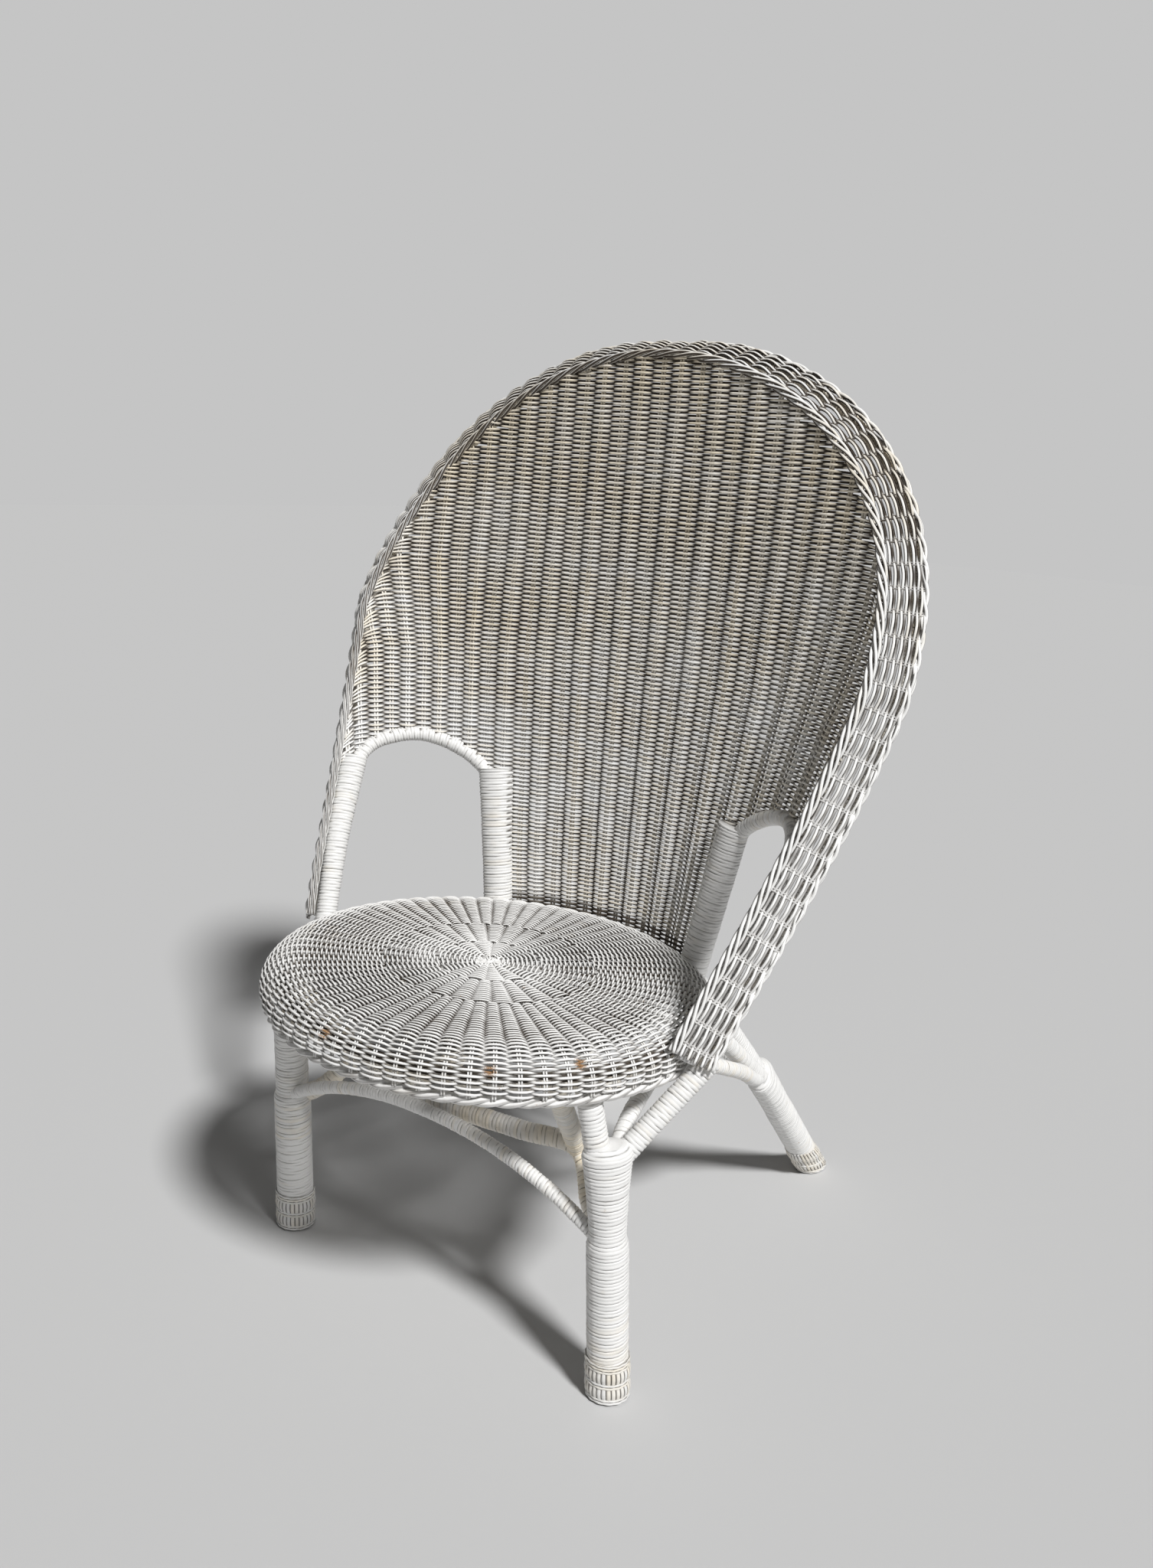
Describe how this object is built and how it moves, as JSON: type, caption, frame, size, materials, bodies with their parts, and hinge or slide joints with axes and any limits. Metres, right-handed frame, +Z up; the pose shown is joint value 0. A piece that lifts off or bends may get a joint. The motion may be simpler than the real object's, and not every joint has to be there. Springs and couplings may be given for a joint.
{
  "type": "peacock chair",
  "caption": "Wicker balloon-back armchair: round woven seat, tall woven wrap-round back with a wide turned rim, arm openings and cane-wrapped splayed legs.",
  "frame": {"origin": "on the floor, under the middle of the chair's outer box", "axes": "+Z up, +Y towards the back of the chair, +X to the right as seen from the front"},
  "size_m": [0.761, 0.7746, 1.0736],
  "materials": {
    "weave": "white paint over woven cane",
    "braid": "white paint over plaited cane",
    "wrapped_pole": "white paint over cane-wrapped poles",
    "cane_wrap": "white paint over flat cane",
    "shaded_pole": "thin yellowed paint over cane-wrapped poles",
    "foot_weave": "worn white paint over woven cane"
  },
  "bodies": {
    "root": {"arm_arch_left": "wrapped_pole", "arm_arch_right": "wrapped_pole", "arm_front_post_left": "wrapped_pole", "arm_front_post_right": "wrapped_pole", "arm_rear_post_left": "wrapped_pole", "arm_rear_post_right": "wrapped_pole", "arm_rear_post_winding_left": "cane_wrap", "arm_rear_post_winding_right": "cane_wrap", "arm_strut_left": "wrapped_pole", "arm_strut_right": "wrapped_pole", "back_arch": "wrapped_pole", "back_fork_strut_left": "wrapped_pole", "back_fork_strut_right": "wrapped_pole", "back_leg_foot_cap_left": "foot_weave", "back_leg_foot_cap_right": "foot_weave", "back_leg_left": "wrapped_pole", "back_leg_right": "wrapped_pole", "back_leg_winding_left": "cane_wrap", "back_leg_winding_right": "cane_wrap", "back_pole_left": "wrapped_pole", "back_pole_right": "wrapped_pole", "back_weave": "weave", "front_arch": "wrapped_pole", "front_leg_foot_cap_left": "foot_weave", "front_leg_foot_cap_right": "foot_weave", "front_leg_left": "wrapped_pole", "front_leg_right": "wrapped_pole", "front_leg_winding_left": "cane_wrap", "front_leg_winding_right": "cane_wrap", "front_strut_left": "wrapped_pole", "front_strut_right": "wrapped_pole", "inner_arch": "shaded_pole", "inner_strut_left": "shaded_pole", "inner_strut_right": "shaded_pole", "rim_band": "braid", "rim_edging": "braid", "rim_hoop": "shaded_pole", "seat_border_braid": "braid", "seat_hoop": "shaded_pole", "seat_rail_left": "shaded_pole", "seat_rail_right": "shaded_pole", "seat_weave": "weave", "side_arch_left": "wrapped_pole", "side_arch_right": "wrapped_pole"}
  },
  "joints": []
}
